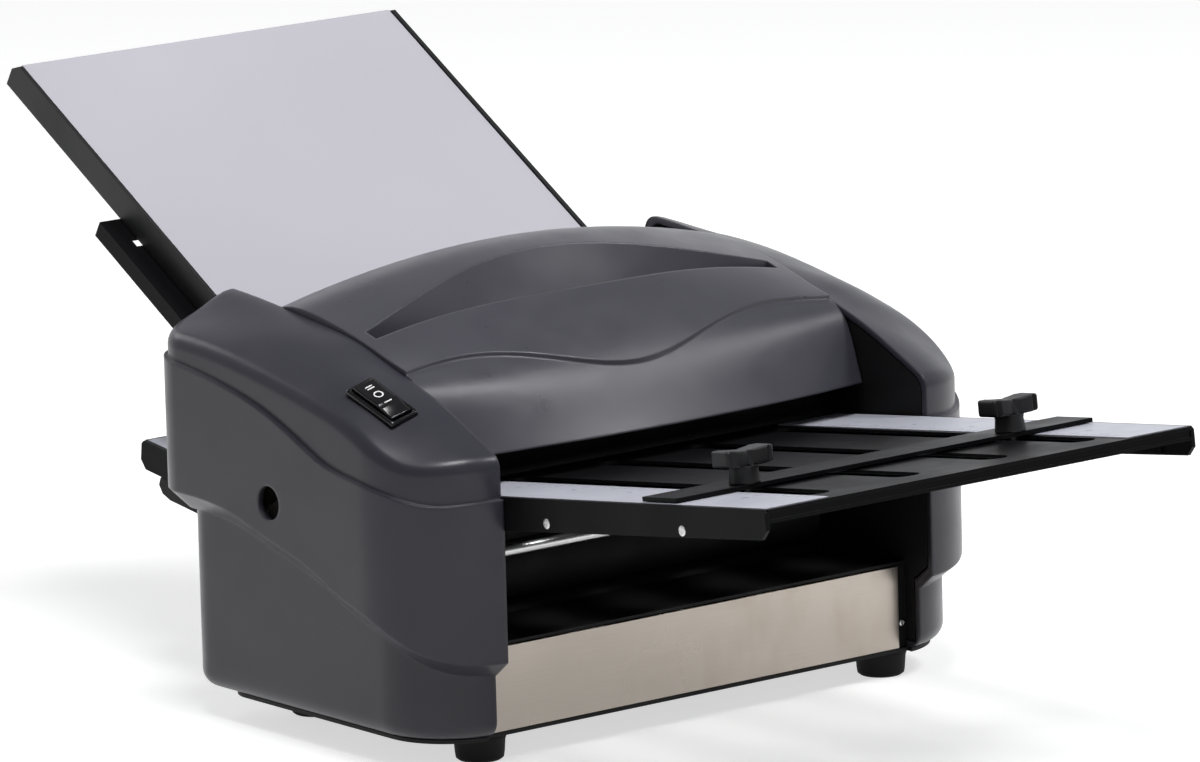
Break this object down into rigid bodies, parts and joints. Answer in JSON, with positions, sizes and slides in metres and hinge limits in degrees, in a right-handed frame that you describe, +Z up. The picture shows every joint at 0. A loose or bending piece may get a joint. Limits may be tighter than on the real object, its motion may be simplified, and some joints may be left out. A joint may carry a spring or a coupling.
{
  "type": "desktop paper folding machine",
  "caption": "Desktop letter folding machine: two slotted fold tables with sliding stops, geared fold rollers, sloping feed tray with a loaded stack, moulded covers and a rocker switch.",
  "frame": {"origin": "centre of the footprint, on the standing surface", "axes": "+Z up, +X to the right seen from the front, front facing -Y"},
  "size_m": [0.334, 0.5718, 0.2708],
  "materials": {
    "cover_grey": "fine satin texture",
    "top_grey": "fine satin texture",
    "switch_black": "smooth",
    "frame_black": "satin black paint",
    "stainless": "brushed along its length",
    "inlet_black": "moulded",
    "foot_rubber": "matt",
    "roller_rubber": "ground rubber",
    "feed_rubber": "ground rubber",
    "bright_steel": "bright zinc or ground steel",
    "bush_brass": "sintered bronze",
    "motor_steel": "lacquered steel case",
    "gear_plastic": "natural nylon",
    "table_black": "matt black powder coat",
    "knob_black": "fine moulded texture",
    "scale_pale": "pale printed strip",
    "paper_white": "uncoated paper"
  },
  "bodies": {
    "frame": {"right_side_cover": "cover_grey", "left_side_cover": "cover_grey", "top_cover": "top_grey", "switch_bezel": "switch_black", "right_side_frame": "frame_black", "left_side_frame": "frame_black", "base_plate": "frame_black", "front_panel": "stainless", "rear_panel": "frame_black", "mains_inlet": "inlet_black", "rubber_feet": "foot_rubber", "tie_rods": "bright_steel", "exit_slide": "frame_black", "shaft_bushes": "bush_brass", "motor": "motor_steel", "gear_axles": "bright_steel", "feed_tray": "table_black", "paper_stack": "paper_white", "tray_brackets": "frame_black", "sheet_gate": "bright_steel", "feed_bed": "bright_steel", "manual_feed_guide": "bright_steel", "front_table_rails": "table_black", "front_table_top_plate": "table_black", "front_table_lower_plate": "table_black", "rear_table_rails": "table_black", "rear_table_top_plate": "table_black", "rear_table_lower_plate": "table_black", "table_scales": "scale_pale", "table_screws": "bright_steel", "case_screws": "bright_steel", "table_supports": "frame_black"},
    "left_guide": {"left_paper_guide": "knob_black"},
    "right_guide": {"right_paper_guide": "knob_black"},
    "front_stop": {"front_stop_bar": "table_black"},
    "rear_stop": {"rear_stop_bar": "table_black"},
    "front_knob_left": {"front_stop_knob_left": "knob_black"},
    "front_knob_right": {"front_stop_knob_right": "knob_black"},
    "rear_knob_left": {"rear_stop_knob_left": "knob_black"},
    "rear_knob_right": {"rear_stop_knob_right": "knob_black"},
    "switch_rocker": {"switch_rocker": "switch_black"},
    "idler": {"idler_gear": "gear_plastic"},
    "reduction": {"reduction_gear": "gear_plastic"},
    "motor_rotor": {"motor_spindle_and_pinion": "bright_steel"},
    "feed_roller": {"feed_roller_shaft": "bright_steel", "feed_roller_rings": "feed_rubber", "feed_roller_gear": "gear_plastic"},
    "fold_roller_1": {"fold_roller_1_shaft": "bright_steel", "fold_roller_1_rubber": "roller_rubber", "fold_roller_1_gear": "gear_plastic"},
    "fold_roller_2": {"fold_roller_2_shaft": "bright_steel", "fold_roller_2_rubber": "roller_rubber", "fold_roller_2_gear": "gear_plastic"},
    "fold_roller_3": {"fold_roller_3_shaft": "bright_steel", "fold_roller_3_rubber": "roller_rubber", "fold_roller_3_gear": "gear_plastic"},
    "fold_roller_4": {"fold_roller_4_shaft": "bright_steel", "fold_roller_4_rubber": "roller_rubber", "fold_roller_4_gear": "gear_plastic"}
  },
  "joints": [
    {"name": "roller_2_spin", "type": "hinge", "parent": "frame", "child": "fold_roller_2", "pos_m": [0, -0.02071, 0.09655], "axis": [1, 0, 0], "continuous": true},
    {"name": "roller_1_spin", "type": "hinge", "parent": "frame", "child": "fold_roller_1", "pos_m": [0, -0.01725, 0.12473], "axis": [1, 0, 0], "continuous": true},
    {"name": "roller_3_spin", "type": "hinge", "parent": "frame", "child": "fold_roller_3", "pos_m": [0, -0.01715, 0.06837], "axis": [1, 0, 0], "continuous": true},
    {"name": "roller_4_spin", "type": "hinge", "parent": "frame", "child": "fold_roller_4", "pos_m": [0, -0.01715, 0.03997], "axis": [1, 0, 0], "continuous": true},
    {"name": "idler_spin", "type": "hinge", "parent": "frame", "child": "idler", "pos_m": [0, 0.01102, 0.111], "axis": [1, 0, 0], "continuous": true},
    {"name": "feed_roller_spin", "type": "hinge", "parent": "frame", "child": "feed_roller", "pos_m": [0, 0.05362, 0.11166], "axis": [1, 0, 0], "continuous": true},
    {"name": "reduction_spin", "type": "hinge", "parent": "frame", "child": "reduction", "pos_m": [0, 0.0212, 0.08449], "axis": [1, 0, 0], "continuous": true},
    {"name": "motor_spin", "type": "hinge", "parent": "frame", "child": "motor_rotor", "pos_m": [0, 0.02855, 0.05705], "axis": [1, 0, 0], "continuous": true},
    {"name": "left_guide_slide", "type": "slide", "parent": "frame", "child": "left_guide", "axis": [-1, 0, 0], "range_m": [0, 0.01]},
    {"name": "right_guide_slide", "type": "slide", "parent": "frame", "child": "right_guide", "axis": [1, 0, 0], "range_m": [0, 0.01]},
    {"name": "front_stop_slide", "type": "slide", "parent": "frame", "child": "front_stop", "axis": [0, 0.9925, -0.1219], "range_m": [-0.05, 0.11]},
    {"name": "rear_stop_slide", "type": "slide", "parent": "frame", "child": "rear_stop", "axis": [0, -0.9921, -0.1253], "range_m": [-0.025, 0.04]},
    {"name": "switch_rock", "type": "hinge", "parent": "frame", "child": "switch_rocker", "pos_m": [-0.14428, -0.04534, 0.15859], "axis": [0.9661, 0, 0.2583], "range_deg": [-12, 12]},
    {"name": "front_knob_left_turn", "type": "hinge", "parent": "front_stop", "child": "front_knob_left", "pos_m": [-0.0759, -0.21495, 0.1406], "axis": [0, 0.1219, 0.9925], "range_deg": [0, 270]},
    {"name": "front_knob_right_turn", "type": "hinge", "parent": "front_stop", "child": "front_knob_right", "pos_m": [0.0759, -0.21495, 0.1406], "axis": [0, 0.1219, 0.9925], "range_deg": [0, 270]},
    {"name": "rear_knob_left_turn", "type": "hinge", "parent": "rear_stop", "child": "rear_knob_left", "pos_m": [0.0759, 0.12403, 0.10641], "axis": [0, -0.1253, 0.9921], "range_deg": [0, 270]},
    {"name": "rear_knob_right_turn", "type": "hinge", "parent": "rear_stop", "child": "rear_knob_right", "pos_m": [-0.0759, 0.12403, 0.10641], "axis": [0, -0.1253, 0.9921], "range_deg": [0, 270]}
  ],
  "couplings": [
    {"joint": "roller_1_spin", "follows": "roller_2_spin", "ratio": -1},
    {"joint": "roller_3_spin", "follows": "roller_2_spin", "ratio": -1},
    {"joint": "roller_4_spin", "follows": "roller_2_spin", "ratio": 1},
    {"joint": "idler_spin", "follows": "roller_2_spin", "ratio": -0.7},
    {"joint": "feed_roller_spin", "follows": "roller_2_spin", "ratio": 0.63636},
    {"joint": "reduction_spin", "follows": "roller_2_spin", "ratio": 1.75},
    {"joint": "motor_spin", "follows": "roller_2_spin", "ratio": -6.4167}
  ]
}
